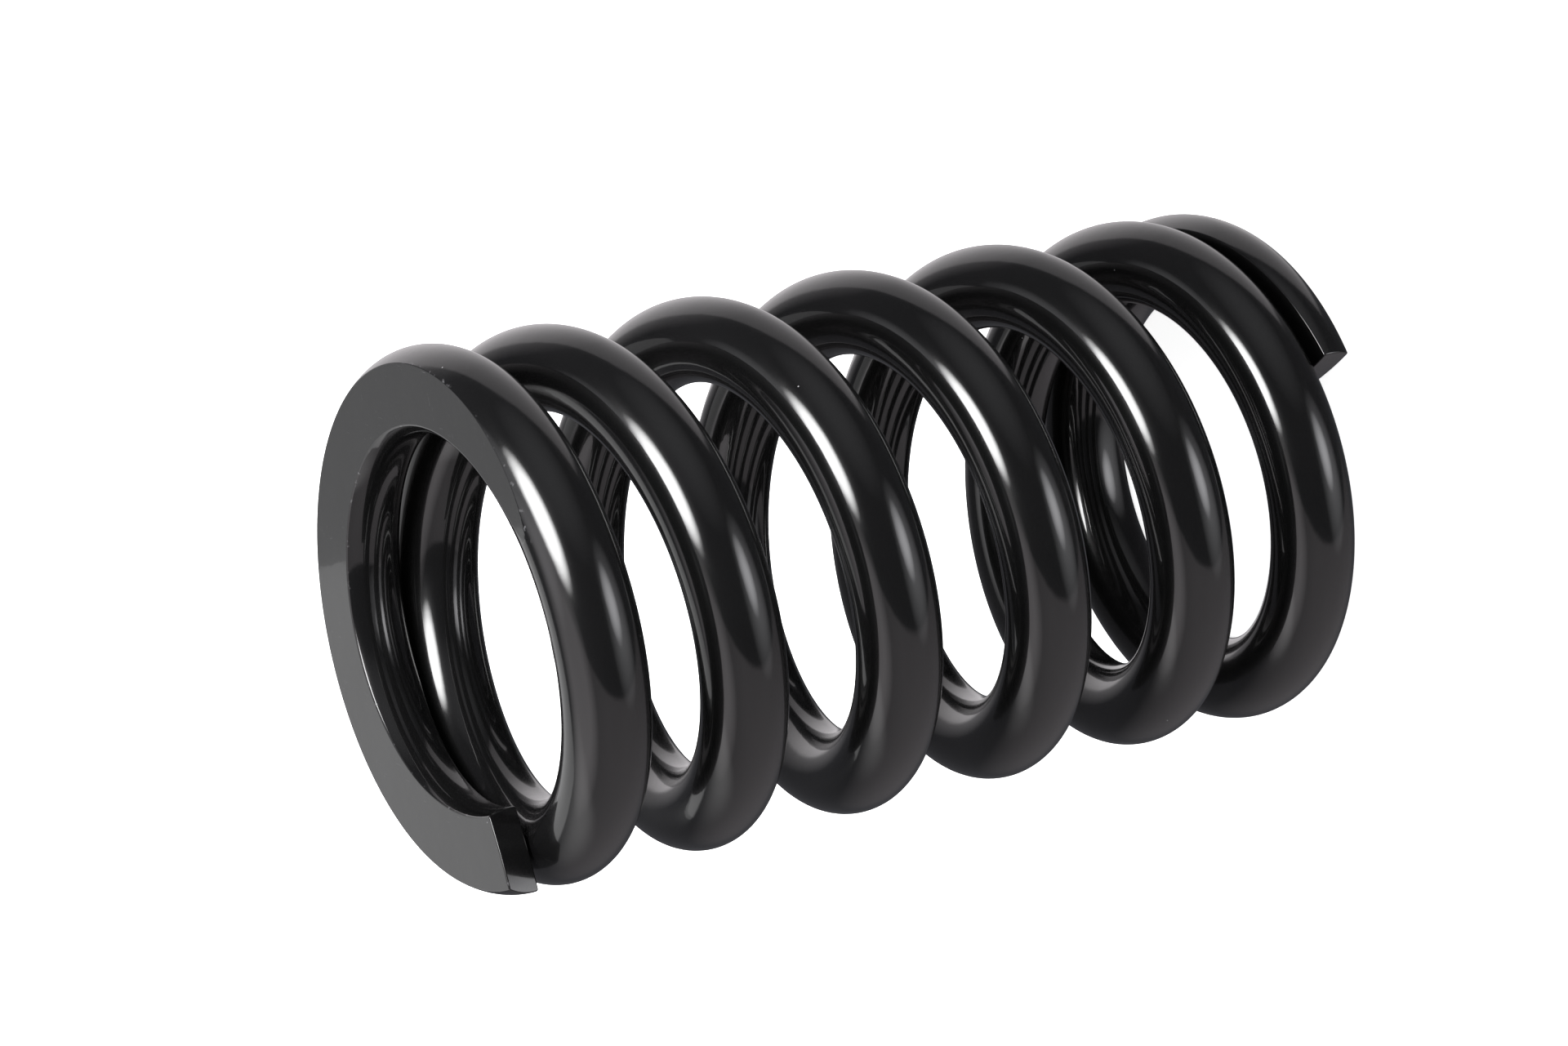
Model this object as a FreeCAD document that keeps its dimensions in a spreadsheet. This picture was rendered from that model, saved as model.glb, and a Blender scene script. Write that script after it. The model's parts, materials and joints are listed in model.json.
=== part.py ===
import FreeCAD, Part
import Sketcher
import math
import os

# A right-hand helical compression spring for a heavy vehicle: one bar of round spring steel, hot wound, with
# both end turns closed and ground flat and each bar end thinned at its back, where the next turn lies on it.
#
# The bar is divided into lengths of wire by planes through the spring's axis, because a rigid solid can't bend:
# as the spring closes, each length slides along the axis against its neighbours.
#
# Frame: millimetres, +Z along the spring's axis, the origin at the centre of the lower ground face, and +X
# through the lower bar end. A "turn" is measured along the wire from the nearer bar end. The two ends are alike
# from turn 0 on, but the upper bar end runs on past it, a little straighter.

FULL_TURN = 360.0
AXIS = FreeCAD.Vector(0, 0, 1)

DIMENSIONS = {
    "wire_diameter": 30.0,
    "mean_diameter": 160.0,
    "total_turns": 6.72,
    "upper_extra_turns": 0.03,
    "length_turns": 0.251,
    "moving_lengths": 17,
    "active_pitch": 61.6,
    "climb_pitch": 45.0,
    "flat_pitch": 4.2,
    "climb_start": 0.43,
    "climb_full": 0.82,
    "active_start": 1.27,
    "active_full": 1.46,
    "tip_centre_height": 8.7,
    "tip_pull_in": 2.2,
    "pull_in_turns": 0.37,
    "flare_turns": 0.08,
    "tip_thickness": 12.0,
    "taper_pitch": 44.0,
    "taper_turns": 0.3,
    "taper_overrun_turns": 0.008,
    "sections_per_turn": 16,
}

doc = FreeCAD.newDocument("coil_spring")


def make_sheet():
    """The driving dimensions, one row each: name, value, alias."""
    sheet = doc.addObject("Spreadsheet::Sheet", "Sizes")
    for row, (alias, value) in enumerate(DIMENSIONS.items(), start=1):
        sheet.set("A%d" % row, alias)
        sheet.set("B%d" % row, str(value))
        sheet.setAlias("B%d" % row, alias)
    doc.recompute()
    return sheet


sizes = make_sheet()


def size(alias):
    return float(sizes.get(alias))


def blended_turns(turn, start, full):
    """Turns wound since start, when what they add comes in smoothly between start and full."""
    width = full - start
    share = min(max((turn - start) / width, 0.0), 1.0)
    return width * (share ** 3 - share ** 4 / 2) + max(turn - full, 0.0)


def centre_height(turn):
    """Height of the wire's centre above the seat plane, at this turn from the bar end.

    The wire lies almost flat on the seat, climbs over its own end, then takes up the active pitch.
    """
    climbing = blended_turns(turn, size("climb_start"), size("climb_full"))
    active = blended_turns(turn, size("active_start"), size("active_full"))
    climb_gain = size("climb_pitch") - size("flat_pitch")
    active_gain = size("active_pitch") - size("climb_pitch")
    flat_rise = size("flat_pitch") * turn
    return size("tip_centre_height") + flat_rise + climb_gain * climbing + active_gain * active


def tip_turn(end):
    """Where the bar really ends."""
    return -size("upper_extra_turns") if end == "upper" else 0.0


def centre_radius(turn, end):
    """Radius of the wire's centre line.

    The last stretch of bar is drawn in a little. At the upper tip it springs out again.
    """
    share = min(max(1 - turn / size("pull_in_turns"), 0.0), 1.0)
    drawn_in = size("tip_pull_in") * share ** 2 * (3 - 2 * share)
    if end == "upper":
        flare = (size("flare_turns") - turn) / (size("flare_turns") - tip_turn(end))
        drawn_in *= 1 - min(max(flare, 0.0), 1.0) ** 2
    return size("mean_diameter") / 2 - drawn_in


def matched_turns():
    """Turns between the two ends' turn 0."""
    return size("total_turns") - size("upper_extra_turns")


def free_length():
    return 2 * centre_height(matched_turns() / 2)


def seat_turns():
    """The turn where each ground end coil stops: what the lead-ins and the moving lengths leave over."""
    wound_lengths = size("moving_lengths") + 2
    return (matched_turns() - wound_lengths * size("length_turns")) / 2


def radial_placement(turn, radius, height):
    """A point of the half-plane through the axis at this turn: local X points outward, local Y along the axis."""
    upright = FreeCAD.Rotation(FreeCAD.Vector(1, 0, 0), 90)
    around = FreeCAD.Rotation(AXIS, FULL_TURN * turn)
    outward = around.multVec(FreeCAD.Vector(radius, 0, 0))
    return FreeCAD.Placement(outward + FreeCAD.Vector(0, 0, height), around * upright)


def wire_loft(name, end, first_turn, last_turn):
    """Round wire of changing pitch, lofted through circles that lie in planes through the axis."""
    count = max(4, math.ceil((last_turn - first_turn) * size("sections_per_turn")))
    circles = []
    for step in range(count + 1):
        turn = first_turn + (last_turn - first_turn) * step / count
        circle = doc.addObject("Part::Circle", "%s_section_%02d" % (name, step))
        circle.setExpression("Radius", "Sizes.wire_diameter / 2")
        circle.Placement = radial_placement(turn, centre_radius(turn, end), centre_height(turn))
        circles.append(circle)
    loft = doc.addObject("Part::Loft", name)
    loft.Sections = circles
    loft.Solid = True
    loft.Ruled = False
    return loft


def grinding_stock(name):
    """What the grinding wheel takes off below the seat plane."""
    stock = doc.addObject("Part::Box", name)
    stock.setExpression("Length", "2 * Sizes.mean_diameter")
    stock.setExpression("Width", "2 * Sizes.mean_diameter")
    stock.setExpression("Height", "Sizes.wire_diameter")
    stock.setExpression("Placement.Base.x", "-Sizes.mean_diameter")
    stock.setExpression("Placement.Base.y", "-Sizes.mean_diameter")
    stock.setExpression("Placement.Base.z", "-Sizes.wire_diameter")
    return stock


def rectangle(sketch, width, height):
    """A rectangle on the X axis of the sketch, centred on the origin. Width and height are expressions."""
    half_width = size("wire_diameter")
    top = size("wire_diameter")
    corners = [(-half_width, 0), (half_width, 0), (half_width, top), (-half_width, top)]
    for index, corner in enumerate(corners):
        following = corners[(index + 1) % len(corners)]
        line = Part.LineSegment(FreeCAD.Vector(*corner, 0), FreeCAD.Vector(*following, 0))
        sketch.addGeometry(line, False)
    for index in range(len(corners)):
        sketch.addConstraint(Sketcher.Constraint("Coincident", index, 2, (index + 1) % len(corners), 1))
    foot, side, lid, other_side = range(len(corners))
    sketch.addConstraint(Sketcher.Constraint("Horizontal", foot))
    sketch.addConstraint(Sketcher.Constraint("Vertical", side))
    sketch.addConstraint(Sketcher.Constraint("Horizontal", lid))
    sketch.addConstraint(Sketcher.Constraint("Vertical", other_side))
    sketch.addConstraint(Sketcher.Constraint("Symmetric", foot, 1, foot, 2, -1, 1))
    wide = sketch.addConstraint(Sketcher.Constraint("DistanceX", foot, 1, foot, 2, 2 * half_width))
    high = sketch.addConstraint(Sketcher.Constraint("DistanceY", side, 1, side, 2, top))
    sketch.setExpression("Constraints[%d]" % wide, width)
    sketch.setExpression("Constraints[%d]" % high, height)


def taper_stock(name, end):
    """What thins the back of the bar end: a square block swept up a helix, from just past the tip.

    The block's foot is at the tip's thickness at turn 0.
    """
    start_turn = tip_turn(end) - size("taper_overrun_turns")
    start_height = size("tip_thickness") + start_turn * size("taper_pitch")
    helix = doc.addObject("Part::Helix", name + "_path")
    helix.setExpression("Pitch", "Sizes.taper_pitch")
    helix.setExpression("Height", "Sizes.taper_pitch * (Sizes.taper_turns + %g)" % -start_turn)
    helix.setExpression("Radius", "Sizes.mean_diameter / 2")
    start_angle = FreeCAD.Rotation(AXIS, FULL_TURN * start_turn)
    helix.Placement = FreeCAD.Placement(FreeCAD.Vector(0, 0, start_height), start_angle)

    block = doc.addObject("Sketcher::SketchObject", name + "_block")
    rectangle(block, "2 * Sizes.wire_diameter", "Sizes.wire_diameter")
    block.Placement = radial_placement(start_turn, size("mean_diameter") / 2, start_height)

    sweep = doc.addObject("Part::Sweep", name)
    sweep.Sections = [block]
    sweep.Spine = (helix, ["Edge1"])
    sweep.Solid = True
    sweep.Frenet = True
    return sweep


def cut(name, base, tool):
    result = doc.addObject("Part::Cut", name)
    result.Base = base
    result.Tool = tool
    return result


def end_placement(end):
    """Both ends are modelled as the lower one. The upper one is then turned over about a horizontal line."""
    if end == "lower":
        return FreeCAD.Placement()
    turned_over = FreeCAD.Rotation(FreeCAD.Vector(1, 0, 0), 180)
    end_angle = FreeCAD.Rotation(AXIS, FULL_TURN * matched_turns())
    return FreeCAD.Placement(FreeCAD.Vector(0, 0, free_length()), end_angle * turned_over)


def ground_end_coil(end):
    """The closed end turn: seat face ground flat, bar end thinned at its back."""
    name = end + "_ground_end_coil"
    wire = wire_loft(name + "_wire", end, tip_turn(end), seat_turns())
    seated = cut(name + "_seated", wire, grinding_stock(name + "_grinding"))
    coil = cut(name, seated, taper_stock(name + "_taper", end))
    coil.Placement = end_placement(end)
    return coil


def lead_in(end):
    """The length of wire that climbs off the closed end turn."""
    coil = wire_loft(end + "_lead_in", end, seat_turns(), length_start(1))
    coil.Placement = end_placement(end)
    return coil


def length_start(number):
    """The turn, counted from the lower bar end, where this moving length starts."""
    return seat_turns() + number * size("length_turns")


def outer_active_length(name, end):
    """The moving length next to a lead-in, where the wire takes up the active pitch."""
    coil = wire_loft(name, end, length_start(1), length_start(2))
    coil.Placement = end_placement(end)
    return coil


def inner_active_length(name, number):
    """A moving length of constant pitch."""
    body = doc.addObject("PartDesign::Body", name)
    section = body.newObject("Sketcher::SketchObject", name + "_section")
    plane = next(item for item in body.Origin.OriginFeatures if item.Role == "XZ_Plane")
    section.AttachmentSupport = (plane, [""])
    section.MapMode = "FlatFace"
    centre = FreeCAD.Vector(size("mean_diameter") / 2, 0, 0)
    circle = section.addGeometry(Part.Circle(centre, AXIS, size("wire_diameter") / 2), False)
    width = section.addConstraint(Sketcher.Constraint("Diameter", circle, size("wire_diameter")))
    radius = section.addConstraint(Sketcher.Constraint("DistanceX", -1, 1, circle, 3, centre.x))
    section.addConstraint(Sketcher.Constraint("PointOnObject", circle, 3, -1))
    section.setExpression("Constraints[%d]" % width, "Sizes.wire_diameter")
    section.setExpression("Constraints[%d]" % radius, "Sizes.mean_diameter / 2")
    doc.recompute()

    coil = body.newObject("PartDesign::AdditiveHelix", name + "_coil")
    coil.Profile = section
    coil.ReferenceAxis = (section, ["V_Axis"])
    coil.Mode = "pitch-height-angle"
    coil.setExpression("Pitch", "Sizes.active_pitch")
    coil.setExpression("Height", "Sizes.active_pitch * Sizes.length_turns")
    coil.LeftHanded = False
    coil.Reversed = False
    body.Tip = coil

    turn = length_start(number)
    around = FreeCAD.Rotation(AXIS, FULL_TURN * turn)
    body.Placement = FreeCAD.Placement(FreeCAD.Vector(0, 0, centre_height(turn)), around)
    return body


def active_length(number):
    """One moving length of wire. The first and the last are alike, and so are all those between."""
    name = "active_length_%02d" % number
    if number == 1:
        return outer_active_length(name, "lower")
    if number == size("moving_lengths"):
        return outer_active_length(name, "upper")
    return inner_active_length(name, number)


def make_parts():
    parts = [ground_end_coil("lower"), lead_in("lower")]
    for number in range(1, int(size("moving_lengths")) + 1):
        parts.append(active_length(number))
    parts += [lead_in("upper"), ground_end_coil("upper")]
    for part in parts:
        part.Label = part.Name
    return parts


def check(parts):
    for item in doc.Objects:
        if "Invalid" in item.State or "Error" in item.State:
            raise RuntimeError("%s failed: %s" % (item.Name, item.State))
    for part in parts:
        shape = part.Shape
        if shape.isNull() or not shape.isValid() or len(shape.Solids) != 1:
            raise RuntimeError("%s has no valid solid" % part.Label)


def write(parts):
    os.makedirs("parts", exist_ok=True)
    for part in parts:
        part.Shape.exportStep("parts/%s.step" % part.Label)


def report(parts):
    volume = sum(part.Shape.Volume for part in parts)
    print("%d lengths, free length %.2f mm, volume %.0f mm3" % (len(parts), free_length(), volume))
    for part in parts:
        box = part.Shape.BoundBox
        print("%-24s volume %8.0f  z %7.2f to %7.2f" % (part.Label, part.Shape.Volume, box.ZMin, box.ZMax))


spring_parts = make_parts()
doc.recompute()
check(spring_parts)
write(spring_parts)
report(spring_parts)
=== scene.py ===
"""The looks of a gloss-black coil spring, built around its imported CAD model. Lengths are in metres.

A "turn" is measured along the wire from the lower bar end. The two halves of the spring are alike, but for
the upper bar end, which runs on a little further and straighter. So most functions take the turn counted
from the nearer end, and turn the result over for the upper half.
"""

import json
import math

import bpy
import numpy as np
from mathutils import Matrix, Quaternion, Vector


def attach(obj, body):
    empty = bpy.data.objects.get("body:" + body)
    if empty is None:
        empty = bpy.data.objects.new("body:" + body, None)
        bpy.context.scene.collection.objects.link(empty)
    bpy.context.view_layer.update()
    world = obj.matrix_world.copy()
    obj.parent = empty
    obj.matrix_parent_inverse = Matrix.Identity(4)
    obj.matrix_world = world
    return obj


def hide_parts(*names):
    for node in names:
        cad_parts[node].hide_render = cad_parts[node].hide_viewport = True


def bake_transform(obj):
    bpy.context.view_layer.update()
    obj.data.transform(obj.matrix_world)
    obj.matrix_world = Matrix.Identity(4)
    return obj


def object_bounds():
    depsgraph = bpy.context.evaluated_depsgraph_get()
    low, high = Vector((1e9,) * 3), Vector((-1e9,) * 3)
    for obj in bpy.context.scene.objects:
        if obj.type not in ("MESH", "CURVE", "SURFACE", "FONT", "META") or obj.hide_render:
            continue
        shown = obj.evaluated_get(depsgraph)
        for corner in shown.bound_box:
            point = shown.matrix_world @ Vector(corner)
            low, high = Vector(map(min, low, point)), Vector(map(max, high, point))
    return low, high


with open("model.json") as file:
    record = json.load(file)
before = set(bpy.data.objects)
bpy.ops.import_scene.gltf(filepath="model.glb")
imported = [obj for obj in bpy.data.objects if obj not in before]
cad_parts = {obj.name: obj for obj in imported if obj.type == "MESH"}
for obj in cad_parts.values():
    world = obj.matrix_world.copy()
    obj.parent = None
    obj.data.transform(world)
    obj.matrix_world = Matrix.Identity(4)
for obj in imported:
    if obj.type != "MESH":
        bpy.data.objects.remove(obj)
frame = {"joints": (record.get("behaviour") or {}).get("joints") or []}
cad_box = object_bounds()

MM = 0.001
FULL_TURN = 2 * math.pi

# The spring, as the CAD source drives it.
WIRE_RADIUS = 15 * MM
COIL_RADIUS = 80 * MM
TOTAL_TURNS = 6.72
UPPER_EXTRA_TURNS = 0.03
MATCHED_TURNS = TOTAL_TURNS - UPPER_EXTRA_TURNS
LENGTH_TURNS = 0.251
MOVING_LENGTHS = 17
ACTIVE_PITCH = 61.6 * MM
CLIMB_PITCH = 45.0 * MM
FLAT_PITCH = 4.2 * MM
CLIMB_START, CLIMB_FULL = 0.43, 0.82
ACTIVE_START, ACTIVE_FULL = 1.27, 1.46
TIP_CENTRE_HEIGHT = 8.7 * MM
TIP_PULL_IN, PULL_IN_TURNS = 2.2 * MM, 0.37
FLARE_TURNS = 0.08
TIP_THICKNESS = 12.0 * MM
TAPER_PITCH, TAPER_TURNS = 44.0 * MM, 0.3
SEAT_TURNS = (MATCHED_TURNS - (MOVING_LENGTHS + 2) * LENGTH_TURNS) / 2
FREE_LENGTH = cad_box[1].z

# How the ground and forged edges are rounded under the paint, and how far the inner wall of a ground end
# swells towards its seat, where the hot bar was pressed square.
SEAT_EDGE_OUTER = 0.7 * MM
SEAT_EDGE_INNER = 1.2 * MM
INNER_SWELL = 4.0 * MM
TAPER_EDGE = 0.8 * MM
TIP_EDGE = 0.6 * MM
LEAST_EDGE = 0.05 * MM

# The face of a bar end bows out by the crown, and leans out at its outer side by the lean.
TIP_CROWN = 0.6 * MM
TIP_LEAN = 0.1 * MM
TIP_BLEND_TURNS = 0.03
EDGE_TURNS = TIP_EDGE / (FULL_TURN * COIL_RADIUS)

# Mesh density.
AROUND = 144
RINGS_PER_TURN = 240
TIP_EDGE_RINGS = 6
CAP_RINGS = 8

# How finely a section is sampled to place its rays, and over how many samples an edge draws them closer.
FINE_RAYS = 2881
EDGE_SPREAD = 12

# Small steps along the wire, round its section and across its end face, for working out normals.
TURN_STEP, RAY_STEP, SHRINK_STEP = 1e-5, 2e-4, 1e-2

# Keeps a ray that runs level from being divided by zero.
LEAST_SINE = 1e-9

# How fast the outermost moving wire closes at its inner end, over its average.
OUTER_CLOSING_SLOPE = 2.5

# The photograph's view: the spring lies on its side in it, so the camera is rolled. Angles are in degrees,
# and the lens and its sensor in millimetres.
CAMERA_AZIMUTH = 71.0
CAMERA_ELEVATION = 29.78
CAMERA_ROLL = -101.69
CAMERA_DISTANCE = 1.6555
CAMERA_LENS = 106.9
CAMERA_SENSOR = 36.0
CAMERA_CLIP = 0.01, 100.0
CAMERA_AIM = (-0.0073, 0.0137, 0.0198)

# Paint, with orange peel and longer sags in its surface, and a sheen that varies in clouds.
PAINT_BLACK = (0.0025, 0.0025, 0.0026, 1)
PAINT_IOR = 1.5
PAINT_SPECULAR = 0.13
COAT_WEIGHT = 0.75
COAT_ROUGHNESS = 0.04
PEEL_SIZE, PEEL_DEPTH = 3 * MM, 0.005 * MM
SAG_SIZE, SAG_DEPTH = 14 * MM, 0.06 * MM
CLOUD_SIZE, CLOUD_DETAIL, CLOUD_RANGE = 35 * MM, 3.0, (0.3, 0.7)
ROUGHNESS_RANGE = 0.17, 0.27

# Marks in the paint are greyer and rougher: dust, scuffs beside the ground faces, and scratches on them.
MARK_GREY = (0.22, 0.22, 0.23, 1)
MARK_ROUGHNESS = 0.4
DUST_SPACING, DUST_RADIUS, DUST_CORE, DUST_HEIGHT = 15 * MM, 0.25 * MM, 0.6, 0.05 * MM
SCUFF_SIZE, SCUFF_DETAIL, SCUFF_RANGE, SCUFF_STRENGTH = 2.5 * MM, 4.0, (0.60, 0.76), 0.3
SCRATCH_STRENGTH, SCRATCH_DEPTH, SCRATCH_FADE = 0.18, 0.01 * MM, 0.03

# How near to the seat's plane the ground face and its rim start, and how near they are in full.
SEAT_FADE = 0.06 * MM, 0.03 * MM
RIM_FADE = 0.8 * MM, 0.2 * MM

# Two sets of scratches: their length, width, angle in degrees, and how rare they are.
LONG_SCRATCHES = 9 * MM, 0.2 * MM, 35, 0.76
SHORT_SCRATCHES = 5 * MM, 0.16 * MM, 112, 0.78

# Floor.
FLOOR_SIZE = 20.0
FLOOR_WHITE = (0.9, 0.9, 0.9, 1)
FLOOR_ROUGHNESS = 0.8
FLOOR_GLOW = 0.8

# Softboxes. The full share says how far out to its rim one stays at full strength before it fades.
KEY_PLACE = (0.311, 0.119, 0.85)
KEY_SIZE = (0.63, 0.48)
KEY_RADIANCE = 21.0
KEY_FULL_SHARE = 0.45
CARD_PLACE = (-0.30, 0.11, 0.49)
CARD_SIZE = (0.44, 0.26)
CARD_RADIANCE = 0.45
HALF_CARD_PLACE = (-0.31, 0.01, 0.49)
HALF_CARD_SIZE = (0.26, 0.24)
HALF_CARD_RADIANCE = 0.42
PANEL_PLACE = (-0.45, -0.44, 0.74)
PANEL_SIZE = (0.90, 0.90)
PANEL_RADIANCE = 0.65
PANEL_FULL_SHARE = 0.15

# The room is plain white, but for what the paint mirrors of it. Each part of that lies at an azimuth and an
# elevation, counted from +X and from the level. It is at full strength out to the first of its edges, and
# ends at the second, both counted from its middle. All these angles are in degrees.
WHITE_ROOM = (1.3, 1.3, 1.3, 1)
DARK_ROOM = (0.08, 0.08, 0.088)

# The white table that the spring lies on: one side of a plane, fading away from one direction.
TABLE_FRONT, TABLE_FRONT_EDGES = (208, 0), (88, 91)
TABLE_SIDE, TABLE_SIDE_EDGES = (285, 0), (20, 95)
TABLE_COLOUR = (0.66, 0.61, 0.63)

# The white sweep behind the spring: a disc cut off by three planes.
SWEEP_MIDDLE, SWEEP_EDGES = (115, -30), (43, 48)
SWEEP_CUTS, SWEEP_CUT_EDGES = ((170, -60.6), (57, -28), (85, 28)), (88, 91.5)
SWEEP_COLOUR = (0.63, 0.605, 0.615)

# Smaller glows: middle, edges, colour.
GLOWS = {
    "behind the spring": ((125, 0), (5, 35), (0.50, 0.48, 0.49)),
    "over the camera": ((30, 5), (5, 40), (0.38, 0.38, 0.39)),
    "behind the upper end": ((120, 70), (8, 24), (1.10, 1.10, 1.13)),
    "beyond the upper end": ((228, 66), (18, 36), (1.20, 1.14, 1.17)),
    "beside the camera": ((336, -29.5), (3, 16), (5.3, 5.3, 5.45)),
    "halo beside the camera": ((327, -36), (0, 31), (1.4, 1.4, 1.44)),
}


def blended_turns(turn, start, full):
    """Turns wound since start, when what they add comes in smoothly between start and full."""
    width = full - start
    share = np.clip((turn - start) / width, 0, 1)
    return width * (share ** 3 - share ** 4 / 2) + np.maximum(turn - full, 0)


def centre_height(turn):
    """Height of the wire's centre over the seat, at this turn from the nearer bar end."""
    climbing = blended_turns(turn, CLIMB_START, CLIMB_FULL)
    active = blended_turns(turn, ACTIVE_START, ACTIVE_FULL)
    climb_gain = CLIMB_PITCH - FLAT_PITCH
    active_gain = ACTIVE_PITCH - CLIMB_PITCH
    return TIP_CENTRE_HEIGHT + FLAT_PITCH * turn + climb_gain * climbing + active_gain * active


def centre_radius(turn, upper):
    """Radius of the wire's centre line: drawn in before each tip, and out again at the upper one."""
    share = np.clip(1 - turn / PULL_IN_TURNS, 0, 1)
    flare = np.clip((FLARE_TURNS - turn) / (FLARE_TURNS + UPPER_EXTRA_TURNS), 0, 1) ** 2
    drawn_in = TIP_PULL_IN * share ** 2 * (3 - 2 * share)
    return COIL_RADIUS - drawn_in * np.where(upper, 1 - flare, 1)


def clipped_ray(angle, to_centre, to_plane, radius, edge):
    """How far a ray goes from a point inside the wire's section to its outline.

    The outline is a circle cut off by a plane below the point, with the corner rounded by an arc. The angle
    is the ray's, above the horizontal. to_centre and to_plane are heights over the point.
    """
    sine, cosine = np.sin(angle), np.cos(angle)
    circle = to_centre * sine + np.sqrt(np.maximum(radius ** 2 - (to_centre * cosine) ** 2, 0))
    drop = to_plane + edge - to_centre
    chord = np.sqrt(np.maximum((radius - edge) ** 2 - drop ** 2, 0))
    is_cut = np.abs(drop) < radius - edge
    flat_from = np.arctan2(to_plane, chord)
    circle_from = np.arctan2(to_centre + radius * drop / (radius - edge), radius * chord / (radius - edge))
    plane = to_plane / np.minimum(sine, -LEAST_SINE)
    towards = cosine * chord + sine * (to_plane + edge)
    aside = chord ** 2 + (to_plane + edge) ** 2 - towards ** 2
    corner = towards + np.sqrt(np.maximum(edge ** 2 - aside, 0))
    cut = np.where(angle < flat_from, plane, np.where(angle < circle_from, corner, circle))
    return np.where(is_cut, cut, circle)


def section_limits(turn, inset):
    """Heights of the section's circle, its two cutting planes and a point midway inside it."""
    centre = centre_height(turn)
    seat = inset + 0 * centre
    taper = TIP_THICKNESS + TAPER_PITCH * turn - inset
    back = np.where(turn < TAPER_TURNS, taper, centre + 2 * WIRE_RADIUS)
    bottom = np.maximum(seat, centre - WIRE_RADIUS)
    top = np.minimum(back, centre + WIRE_RADIUS)
    return centre, seat, back, (bottom + top) / 2


def section_point(turn, ray, upper, inset=0.0):
    """Radius and height of the wire's surface, at this turn from the nearer end, along this ray."""
    centre, seat, back, middle = section_limits(turn, inset)
    outward = np.cos(ray) >= 0
    angle = np.arctan2(np.sin(ray), np.abs(np.cos(ray)))
    radius = WIRE_RADIUS - inset
    seat_edge = np.maximum(np.where(outward, SEAT_EDGE_OUTER, SEAT_EDGE_INNER) - inset, LEAST_EDGE)
    back_edge = np.maximum(TAPER_EDGE - inset, LEAST_EDGE)
    below = clipped_ray(angle, centre - middle, seat - middle, radius, seat_edge)
    above = clipped_ray(-angle, middle - centre, middle - back, radius, back_edge)
    reach = np.where(angle < 0, below, above)
    height = middle + reach * np.sin(ray)
    cut_share = np.clip((WIRE_RADIUS - centre) / (WIRE_RADIUS - TIP_CENTRE_HEIGHT), 0, 1)
    depth = np.clip((centre - height) / WIRE_RADIUS, 0, 1)
    swell = INNER_SWELL * cut_share * depth ** 2 * np.clip(-np.cos(ray), 0, 1)
    return centre_radius(turn, upper) + reach * np.cos(ray) - swell, height


def polar_point(radius, turn, height):
    angle = FULL_TURN * turn
    return np.stack([radius * np.cos(angle), radius * np.sin(angle), height], axis=-1)


def surface_point(turn, ray):
    """A point of the wire's surface in the frame. Turns are counted from the lower bar end."""
    upper = turn > MATCHED_TURNS / 2
    near_turn = np.where(upper, MATCHED_TURNS - turn, turn)
    radius, height = section_point(near_turn, np.where(upper, -ray, ray), upper)
    return polar_point(radius, turn, np.where(upper, FREE_LENGTH - height, height))


def end_point(turn, ray, upper):
    """A point of the surface near one end, as if that end were the lower one. Turns are counted from it."""
    radius, height = section_point(turn, ray, upper)
    return polar_point(radius, turn, height)


def unit(vectors):
    return vectors / np.linalg.norm(vectors, axis=-1, keepdims=True)


def normal_of(point, turn, ray, *place):
    """The outward normal of the surface that this function gives the points of."""
    along = point(turn + TURN_STEP, ray, *place) - point(turn - TURN_STEP, ray, *place)
    across = point(turn, ray + RAY_STEP, *place) - point(turn, ray - RAY_STEP, *place)
    return unit(np.cross(along, across))


def rays_for(turn, upper=False):
    """The rays of one ring, at this turn from the nearer end, closer together where it has an edge."""
    fine = np.linspace(-math.pi, math.pi, FINE_RAYS)
    radius, height = section_point(turn, fine, upper)
    heading = np.unwrap(np.arctan2(np.gradient(height), np.gradient(radius)))
    bend = np.abs(np.gradient(heading))
    bend = sum(np.roll(bend, shift) for shift in range(-EDGE_SPREAD, EDGE_SPREAD + 1))
    length = np.hypot(np.gradient(radius), np.gradient(height))
    weight = length / length.sum() + bend / bend.sum()
    share = np.concatenate([[0], np.cumsum((weight[1:] + weight[:-1]) / 2)])
    share /= share[-1]
    return np.interp(np.arange(AROUND) / AROUND, share, fine)


def tip_turn(upper):
    """The turn at which the bar ends, counted as the other turns of its end are."""
    return -UPPER_EXTRA_TURNS if upper else 0.0


def bowed_turn(turn, across, upper):
    """The turn of a point near the bar end, whose face bows out and leans out at its outer side."""
    fade = np.clip(1 - (turn - tip_turn(upper)) / TIP_BLEND_TURNS, 0, 1) ** 2
    bow = -TIP_CROWN * (1 - across ** 2) - TIP_LEAN * across
    return turn + fade * bow / (FULL_TURN * COIL_RADIUS)


def tip_point(turn, ray, upper, inset, shrink=1.0):
    """A point near the bar end. shrink draws it in towards the middle of the section, for the end face."""
    radius, height = section_point(turn, ray, upper, inset)
    middle = section_limits(turn, inset)[3]
    centre = centre_radius(turn, upper)
    radius = centre + shrink * (radius - centre)
    height = middle + shrink * (height - middle)
    return polar_point(radius, bowed_turn(turn, (radius - centre) / WIRE_RADIUS, upper), height)


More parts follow.
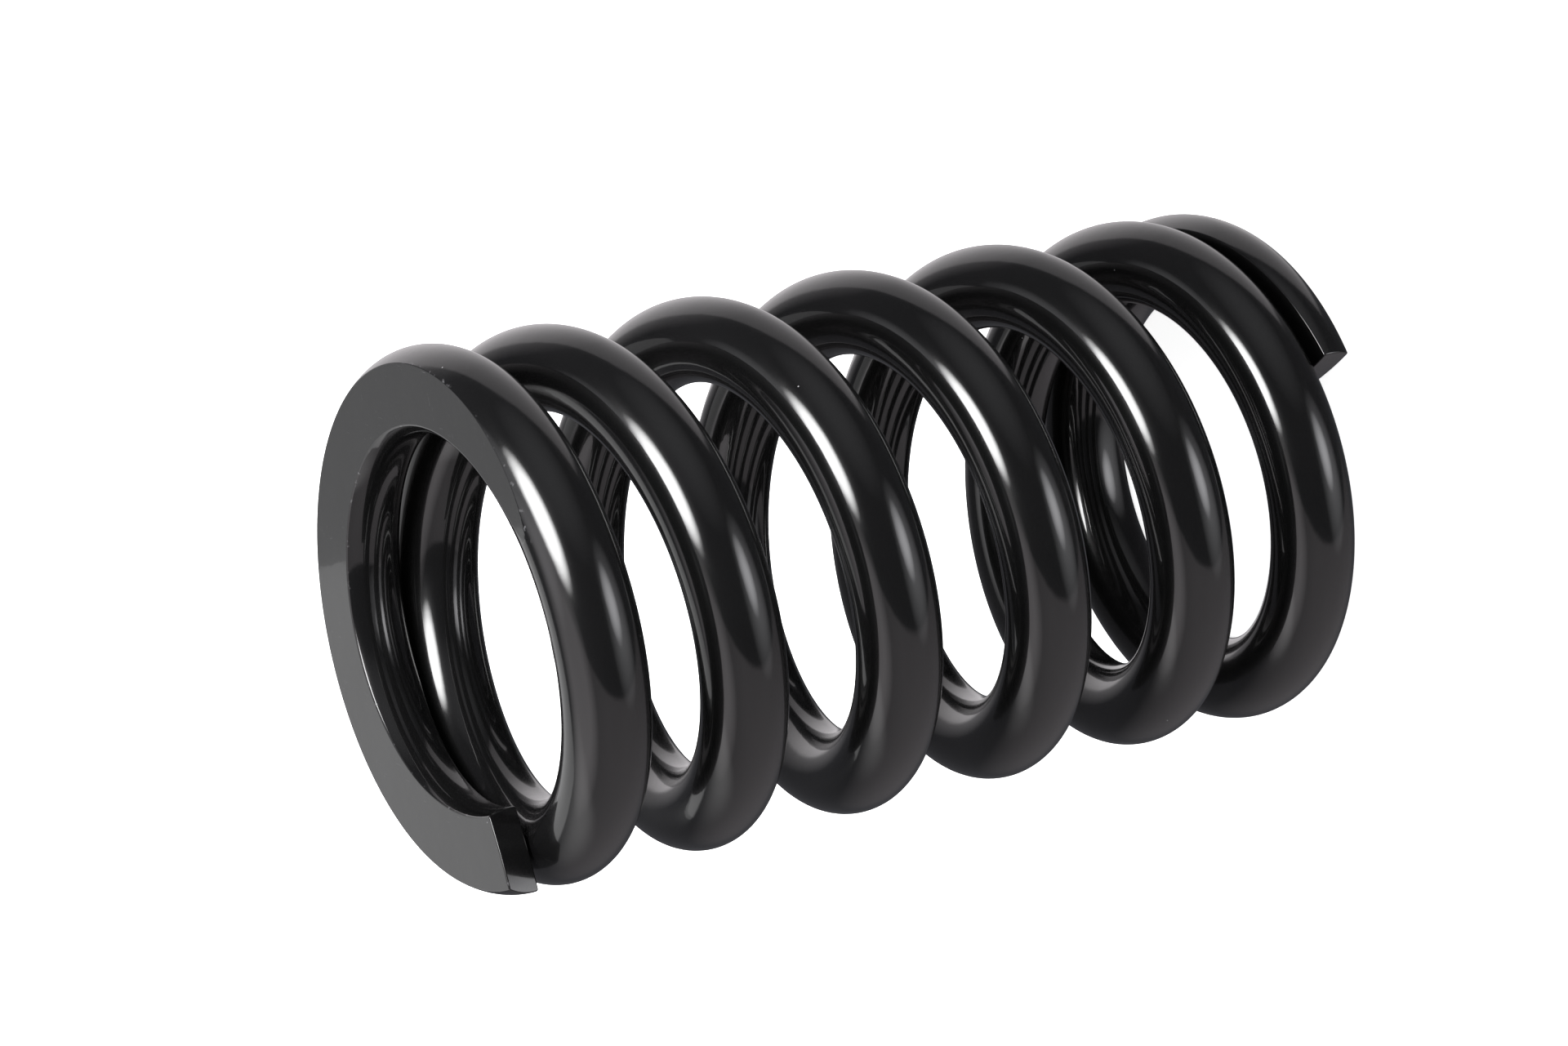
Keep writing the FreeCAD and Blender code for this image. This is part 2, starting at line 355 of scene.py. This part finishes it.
def tip_rings(rays, upper):
    """Points and normals of the bar end: its face from the middle outwards, then its rounded edge."""
    points, normals = [], []
    tip = np.full(AROUND, tip_turn(upper))
    for shrink in np.linspace(0, 1, CAP_RINGS + 1)[1:]:
        point = tip_point(tip, rays, upper, TIP_EDGE, shrink)
        outward = point - tip_point(tip, rays, upper, TIP_EDGE, shrink - SHRINK_STEP)
        ahead = tip_point(tip, rays + RAY_STEP, upper, TIP_EDGE, shrink)
        behind = tip_point(tip, rays - RAY_STEP, upper, TIP_EDGE, shrink)
        points.append(point)
        normals.append(unit(np.cross(outward, ahead - behind)))
    face_normal = normals[-1]
    side_normal = normal_of(end_point, tip + EDGE_TURNS, rays, upper)
    for ring in range(1, TIP_EDGE_RINGS):
        slope = math.pi / 2 * ring / TIP_EDGE_RINGS
        turn = tip + EDGE_TURNS * (1 - math.cos(slope))
        points.append(tip_point(turn, rays, upper, TIP_EDGE * (1 - math.sin(slope))))
        normals.append(unit(math.cos(slope) * face_normal + math.sin(slope) * side_normal))
    return points, normals


def wire_rings(first_turn, last_turn):
    """Points and normals of the wire's surface between two turns, and the turn of each ring."""
    count = max(2, round((last_turn - first_turn) * RINGS_PER_TURN))
    points, normals, turns = [], [], []
    for turn in np.linspace(first_turn, last_turn, count + 1):
        rays = rays_for(min(turn, MATCHED_TURNS - turn))
        if turn > MATCHED_TURNS / 2:
            rays = -np.roll(rays[::-1], 1)
        ring_turn = np.full(AROUND, turn)
        points.append(surface_point(ring_turn, rays))
        normals.append(normal_of(surface_point, ring_turn, rays))
        turns.append(turn)
    return points, normals, turns


def end_turn_rings(upper):
    """An end turn that lies as the lower one: its bar end, then wire that first follows the bowed face."""
    first_turn = tip_turn(upper) + EDGE_TURNS
    points, normals = tip_rings(rays_for(tip_turn(upper), upper), upper)
    count = round((SEAT_TURNS - first_turn) * RINGS_PER_TURN)
    for turn in np.linspace(first_turn, SEAT_TURNS, count + 1):
        rays = rays_for(turn, upper)
        ring_turn = np.full(AROUND, turn)
        points.append(tip_point(ring_turn, rays, upper, 0.0))
        normals.append(normal_of(end_point, ring_turn, rays, upper))
    return points, normals


def turned_over(rings, lift):
    """Rings that lie as the lower end does, moved to the upper end."""
    cosine, sine = math.cos(FULL_TURN * MATCHED_TURNS), math.sin(FULL_TURN * MATCHED_TURNS)
    moved = []
    for ring in rings:
        x, y, z = ring[:, 0], -ring[:, 1], -ring[:, 2]
        moved.append(np.stack([x * cosine - y * sine, x * sine + y * cosine, z + lift], axis=-1))
    return moved


def wire_direction(turn):
    """The level direction in which the wire runs on at this turn."""
    return np.array([-math.sin(FULL_TURN * turn), math.cos(FULL_TURN * turn), 0.0])


def add_wire(name, points, normals, first_face, last_face):
    """A closed mesh of rings, with a cap at each end that faces the way given.

    Its normals are the true surface's, so that no seam shows between neighbouring pieces.
    """
    rings = len(points)
    middles = [points[0].mean(axis=0)[None], points[-1].mean(axis=0)[None]]
    vertices = np.concatenate(points + middles)
    vertex_normals = np.concatenate(normals)
    column = np.arange(AROUND)
    following = (column + 1) % AROUND
    faces, corner_normals = [], []
    for ring in range(rings - 1):
        low, high = ring * AROUND, (ring + 1) * AROUND
        quads = np.stack([low + column, high + column, high + following, low + following], axis=1)
        faces += quads.tolist()
        corner_normals.append(vertex_normals[quads].reshape(-1, 3))
    last_ring = (rings - 1) * AROUND
    first_middle, last_middle = rings * AROUND, rings * AROUND + 1
    caps = [(first_middle, column, following, first_face)]
    caps.append((last_middle, last_ring + following, last_ring + column, last_face))
    for middle, one, other, direction in caps:
        triangles = np.stack([np.full(AROUND, middle), one, other], axis=1)
        faces += triangles.tolist()
        corner_normals.append(np.tile(direction, (AROUND * 3, 1)))
    mesh = bpy.data.meshes.new(name)
    mesh.from_pydata(vertices.tolist(), [], faces)
    mesh.shade_smooth()
    mesh.normals_split_custom_set(np.concatenate(corner_normals).tolist())
    rest = mesh.attributes.new("rest_position", "FLOAT_VECTOR", "POINT")
    rest.data.foreach_set("vector", vertices.astype(np.float32).ravel())
    piece = bpy.data.objects.new(name, mesh)
    bpy.context.scene.collection.objects.link(piece)
    return piece


def add_end_turn(name, body, upper):
    points, normals = end_turn_rings(upper)
    first_face, last_face = -wire_direction(tip_turn(upper)), wire_direction(SEAT_TURNS)
    if upper:
        points, normals = turned_over(points, FREE_LENGTH), turned_over(normals, 0.0)
        first_face = turned_over([first_face[None]], 0.0)[0][0]
        last_face = turned_over([last_face[None]], 0.0)[0][0]
    piece = add_wire(name, points, normals, first_face, last_face)
    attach(piece, body)
    return piece


def add_moving_wire(number, first_turn, last_turn, joint, first_slope, last_slope):
    """A piece of wire from the middle of one moving length to the middle of the next.
    """
    points, normals, turns = wire_rings(first_turn, last_turn)
    faces = -wire_direction(first_turn), wire_direction(last_turn)
    piece = add_wire("wire_%02d" % number, points, normals, *faces)
    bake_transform(piece)
    return piece


def add_moving_wires():
    """One piece of wire for each joint."""
    joints = frame["joints"]
    middles = [SEAT_TURNS + (number + 0.5) * LENGTH_TURNS for number in range(1, MOVING_LENGTHS + 1)]
    borders = [SEAT_TURNS] + middles + [MATCHED_TURNS - SEAT_TURNS]
    steps = [joint["range_m"][1] for joint in joints]
    full_slope = steps[len(steps) // 2] / LENGTH_TURNS
    border_slopes = [full_slope] * len(borders)
    border_slopes[0] = border_slopes[-1] = 0.0
    border_slopes[1] = border_slopes[-2] = OUTER_CLOSING_SLOPE * steps[0] / (borders[1] - borders[0])
    pieces = []
    for index, joint in enumerate(joints):
        span = borders[index + 1] - borders[index]
        slopes = [border_slopes[end] * span / steps[index] for end in (index, index + 1)]
        pieces.append(add_moving_wire(index + 1, borders[index], borders[index + 1], joint, *slopes))
    return pieces


def build_spring():
    lower = add_end_turn("lower_end_turn", "base", upper=False)
    upper = add_end_turn("upper_end_turn", "top", upper=True)
    wires = add_moving_wires()
    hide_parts("lower_ground_end_coil")
    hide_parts("upper_ground_end_coil")
    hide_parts("lower_lead_in")
    for number, wire in enumerate(wires[1:], start=1):
        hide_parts("active_length_%02d" % number)
    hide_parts("upper_lead_in")
    return [lower, upper] + wires


def aim(thing, place, target, roll=0.0):
    """Points a camera or lamp at a target. Roll turns it about its own view, clockwise as it looks."""
    place, target = Vector(place), Vector(target)
    look = (target - place).to_track_quat("-Z", "Y")
    thing.rotation_mode = "QUATERNION"
    thing.location = place
    thing.rotation_quaternion = look @ Quaternion((0, 0, 1), roll)


def add_camera():
    camera = bpy.data.objects.new("camera", bpy.data.cameras.new("camera"))
    camera.data.lens = CAMERA_LENS
    camera.data.sensor_fit = "HORIZONTAL"
    camera.data.sensor_width = CAMERA_SENSOR
    camera.data.clip_start, camera.data.clip_end = CAMERA_CLIP
    middle = Vector((0, 0, FREE_LENGTH / 2))
    azimuth, elevation = math.radians(CAMERA_AZIMUTH), math.radians(CAMERA_ELEVATION)
    level = math.cos(elevation)
    back = Vector((math.sin(azimuth) * level, -math.cos(azimuth) * level, math.sin(elevation)))
    target = middle + Vector(CAMERA_AIM)
    aim(camera, target + CAMERA_DISTANCE * back, target, math.radians(CAMERA_ROLL))
    bpy.context.scene.collection.objects.link(camera)
    bpy.context.scene.camera = camera


def link(tree, source, target):
    tree.links.new(source, target)


def noise(tree, place, size, detail=2.0, stretch=(1, 1, 1)):
    """A noise whose bumps are about this size across."""
    mapping = tree.nodes.new("ShaderNodeMapping")
    mapping.inputs["Scale"].default_value = stretch
    link(tree, place, mapping.inputs["Vector"])
    node = tree.nodes.new("ShaderNodeTexNoise")
    node.inputs["Scale"].default_value = 1 / size
    node.inputs["Detail"].default_value = detail
    link(tree, mapping.outputs["Vector"], node.inputs["Vector"])
    return node.outputs["Fac"]


def ramp(tree, value, low, high, low_result=0.0, high_result=1.0, smooth=False):
    """Value brought from the range low to high into the range of the results, and kept inside it."""
    node = tree.nodes.new("ShaderNodeMapRange")
    if smooth:
        node.interpolation_type = "SMOOTHSTEP"
    node.inputs["From Min"].default_value = low
    node.inputs["From Max"].default_value = high
    node.inputs["To Min"].default_value = low_result
    node.inputs["To Max"].default_value = high_result
    link(tree, value, node.inputs["Value"])
    return node.outputs["Result"]


def vector_math(tree, operation, first, second=None):
    node = tree.nodes.new("ShaderNodeVectorMath")
    node.operation = operation
    for value, socket in ((first, node.inputs[0]), (second, node.inputs[1])):
        if isinstance(value, tuple):
            socket.default_value = value
        elif value is not None:
            link(tree, value, socket)
    return node.outputs["Value" if operation in ("LENGTH", "DOT_PRODUCT") else "Vector"]


def combine(tree, operation, first, second):
    node = tree.nodes.new("ShaderNodeMath")
    node.operation = operation
    for value, socket in ((first, node.inputs[0]), (second, node.inputs[1])):
        if isinstance(value, (int, float)):
            socket.default_value = value
        else:
            link(tree, value, socket)
    return node.outputs["Value"]


def bump(tree, height, distance, normal=None):
    node = tree.nodes.new("ShaderNodeBump")
    node.inputs["Strength"].default_value = 1.0
    node.inputs["Distance"].default_value = distance
    link(tree, height, node.inputs["Height"])
    if normal:
        link(tree, normal, node.inputs["Normal"])
    return node.outputs["Normal"]


def mix_colour(tree, share, first, second):
    node = tree.nodes.new("ShaderNodeMix")
    node.data_type = "RGBA"
    link(tree, share, node.inputs["Factor"])
    for value, socket in ((first, node.inputs["A"]), (second, node.inputs["B"])):
        if isinstance(value, tuple):
            socket.default_value = value
        else:
            link(tree, value, socket)
    return node.outputs["Result"]


def dots(tree, place, cell, radius):
    """Rare round dots, at most this large, about one in each cell of space."""
    node = tree.nodes.new("ShaderNodeTexVoronoi")
    node.inputs["Scale"].default_value = 1 / cell
    link(tree, place, node.inputs["Vector"])
    return ramp(tree, node.outputs["Distance"], radius / cell, DUST_CORE * radius / cell)


def scratches(tree, place, length, width, angle, rarity):
    """Fine straight scratches in the level plane, at this angle in degrees."""
    turned = tree.nodes.new("ShaderNodeMapping")
    turned.inputs["Rotation"].default_value = (0, 0, math.radians(angle))
    link(tree, place, turned.inputs["Vector"])
    lines = noise(tree, turned.outputs["Vector"], length, detail=1.0, stretch=(1, length / width, 1))
    return ramp(tree, lines, rarity, rarity + SCRATCH_FADE)


def opposite(tree, share):
    """1 where the share is 0, and 0 where it is 1."""
    return ramp(tree, share, 1.0, 0.0)


def seat_and_rim(tree, place):
    """Where the ground faces are, and where the rims beside them are."""
    parts = tree.nodes.new("ShaderNodeSeparateXYZ")
    link(tree, place, parts.inputs["Vector"])
    height = parts.outputs["Z"]
    from_seat = combine(tree, "MINIMUM", height, combine(tree, "SUBTRACT", FREE_LENGTH, height))
    seat = ramp(tree, from_seat, *SEAT_FADE)
    rim = combine(tree, "MULTIPLY", ramp(tree, from_seat, *RIM_FADE), opposite(tree, seat))
    return seat, rim


def seat_scratches(tree, place, seat):
    """Both sets of scratches, on the ground faces only."""
    both = [scratches(tree, place, *kind) for kind in (LONG_SCRATCHES, SHORT_SCRATCHES)]
    return combine(tree, "MULTIPLY", combine(tree, "MAXIMUM", *both), seat)


def rim_scuffs(tree, place, rim):
    """Rubbed patches on the rims of the ground faces."""
    patches = ramp(tree, noise(tree, place, SCUFF_SIZE, SCUFF_DETAIL), *SCUFF_RANGE)
    return combine(tree, "MULTIPLY", rim, patches)


def black_paint():
    """Smooth gloss-black paint: orange peel, dust, and scratched seats with scuffed rims."""
    material = bpy.data.materials.new("black_paint")
    material.use_nodes = True
    tree = material.node_tree
    shader = tree.nodes["Principled BSDF"]
    shader.inputs["IOR"].default_value = PAINT_IOR
    shader.inputs["Specular IOR Level"].default_value = PAINT_SPECULAR
    shader.inputs["Coat Weight"].default_value = COAT_WEIGHT
    shader.inputs["Coat Roughness"].default_value = COAT_ROUGHNESS
    rest = tree.nodes.new("ShaderNodeAttribute")
    rest.attribute_name = "rest_position"
    place = rest.outputs["Vector"]
    seat, rim = seat_and_rim(tree, place)
    scuffs = rim_scuffs(tree, place, rim)
    scores = seat_scratches(tree, place, seat)
    dust = dots(tree, place, DUST_SPACING, DUST_RADIUS)
    marks = combine(tree, "MAXIMUM", dust, combine(tree, "MULTIPLY", scuffs, SCUFF_STRENGTH))
    marks = combine(tree, "MAXIMUM", marks, combine(tree, "MULTIPLY", scores, SCRATCH_STRENGTH))
    link(tree, mix_colour(tree, marks, PAINT_BLACK, MARK_GREY), shader.inputs["Base Color"])
    cloud = ramp(tree, noise(tree, place, CLOUD_SIZE, CLOUD_DETAIL), *CLOUD_RANGE, *ROUGHNESS_RANGE)
    rough_marks = combine(tree, "MULTIPLY", marks, MARK_ROUGHNESS)
    link(tree, combine(tree, "ADD", cloud, rough_marks), shader.inputs["Roughness"])
    peel = bump(tree, noise(tree, place, PEEL_SIZE), PEEL_DEPTH)
    sagging = bump(tree, noise(tree, place, SAG_SIZE), SAG_DEPTH, peel)
    nibs = bump(tree, dust, DUST_HEIGHT, sagging)
    scored = bump(tree, opposite(tree, scores), SCRATCH_DEPTH, nibs)
    link(tree, scored, shader.inputs["Normal"])
    link(tree, nibs, shader.inputs["Coat Normal"])
    return material


def add_floor():
    """A white floor. Reflections pass through it, to the lights that stand lower than the spring's end."""
    bpy.ops.mesh.primitive_plane_add(size=FLOOR_SIZE)
    floor = bpy.context.object
    floor.name = "floor"
    floor.visible_glossy = False
    material = bpy.data.materials.new("floor")
    material.use_nodes = True
    shader = material.node_tree.nodes["Principled BSDF"]
    shader.inputs["Base Color"].default_value = FLOOR_WHITE
    shader.inputs["Roughness"].default_value = FLOOR_ROUGHNESS
    shader.inputs["Specular IOR Level"].default_value = 0.0
    shader.inputs["Emission Color"].default_value = (1, 1, 1, 1)
    shader.inputs["Emission Strength"].default_value = FLOOR_GLOW
    floor.data.materials.append(material)


def add_softbox(name, place, target, size, radiance, full_share=1.0):
    """A soft light that shows in reflections and not to the camera.

    It is an ellipse that fades from full_share of the way out to its rim, or a plain rectangle when it
    doesn't fade.
    """
    light = bpy.data.lights.new(name, "AREA")
    light.shape = "RECTANGLE" if full_share == 1.0 else "ELLIPSE"
    light.size, light.size_y = size
    light.energy = radiance * math.pi * light.size * light.size_y
    if full_share < 1.0:
        light.use_nodes = True
        tree = light.node_tree
        across = tree.nodes.new("ShaderNodeNewGeometry").outputs["Parametric"]
        offset = vector_math(tree, "SUBTRACT", across, (0.5, 0.5, 0.0))
        distance = vector_math(tree, "LENGTH", vector_math(tree, "MULTIPLY", offset, (2.0, 2.0, 0.0)))
        strength = ramp(tree, distance, 1.0, full_share, smooth=True)
        link(tree, strength, tree.nodes["Emission"].inputs["Strength"])
    lamp = bpy.data.objects.new(name, light)
    bpy.context.scene.collection.objects.link(lamp)
    aim(lamp, place, target)
    lamp.visible_camera = False


def bearing(azimuth, elevation):
    """The direction from the spring at these angles in degrees, counted from +X and from the level."""
    azimuth, elevation = math.radians(azimuth), math.radians(elevation)
    level = math.cos(elevation)
    return Vector((math.cos(azimuth) * level, math.sin(azimuth) * level, math.sin(elevation)))


def towards(tree, direction, middle, edges):
    """1 for directions within the first of these angles from the middle, fading to 0 at the second."""
    full, end = edges
    cosines = math.cos(math.radians(end)), math.cos(math.radians(full))
    return ramp(tree, vector_math(tree, "DOT_PRODUCT", direction, tuple(bearing(*middle))), *cosines)


def studio_surroundings():
    """What the paint mirrors besides the softboxes: a white table and sweep, a few glows, a dark room.

    Only reflections see it. To all else the room is plain white.
    """
    world = bpy.data.worlds.new("studio")
    bpy.context.scene.world = world
    world.use_nodes = True
    tree = world.node_tree
    direction = tree.nodes.new("ShaderNodeTexCoord").outputs["Generated"]
    table = towards(tree, direction, TABLE_FRONT, TABLE_FRONT_EDGES)
    table = combine(tree, "MULTIPLY", table, towards(tree, direction, TABLE_SIDE, TABLE_SIDE_EDGES))
    sweep = towards(tree, direction, SWEEP_MIDDLE, SWEEP_EDGES)
    for cut in SWEEP_CUTS:
        sweep = combine(tree, "MULTIPLY", sweep, towards(tree, direction, cut, SWEEP_CUT_EDGES))
    shares = [(table, TABLE_COLOUR), (sweep, SWEEP_COLOUR)]
    for middle, edges, colour in GLOWS.values():
        shares.append((towards(tree, direction, middle, edges), colour))
    light = DARK_ROOM
    for share, colour in shares:
        light = vector_math(tree, "ADD", light, vector_math(tree, "MULTIPLY", share, colour))
    mix = tree.nodes.new("ShaderNodeMix")
    mix.data_type = "RGBA"
    link(tree, tree.nodes.new("ShaderNodeLightPath").outputs["Is Glossy Ray"], mix.inputs["Factor"])
    mix.inputs["A"].default_value = WHITE_ROOM
    link(tree, light, mix.inputs["B"])
    link(tree, mix.outputs["Result"], tree.nodes["Background"].inputs["Color"])


def across_from(place):
    """The point that a softbox at this place faces when it looks along X."""
    return (0, place[1], place[2])


def light_scene():
    studio_surroundings()
    add_softbox("key_softbox", KEY_PLACE, (0, 0, FREE_LENGTH / 2), KEY_SIZE, KEY_RADIANCE, KEY_FULL_SHARE)
    add_softbox("white_card", CARD_PLACE, across_from(CARD_PLACE), CARD_SIZE, CARD_RADIANCE)
    half_target = across_from(HALF_CARD_PLACE)
    add_softbox("half_card", HALF_CARD_PLACE, half_target, HALF_CARD_SIZE, HALF_CARD_RADIANCE)
    panel_target = across_from(PANEL_PLACE)
    add_softbox("white_panel", PANEL_PLACE, panel_target, PANEL_SIZE, PANEL_RADIANCE, PANEL_FULL_SHARE)
    bpy.context.scene.view_settings.view_transform = "Standard"


def main():
    pieces = build_spring()
    paint = black_paint()
    for piece in pieces:
        piece.data.materials.append(paint)
    add_floor()
    light_scene()
    add_camera()


main()
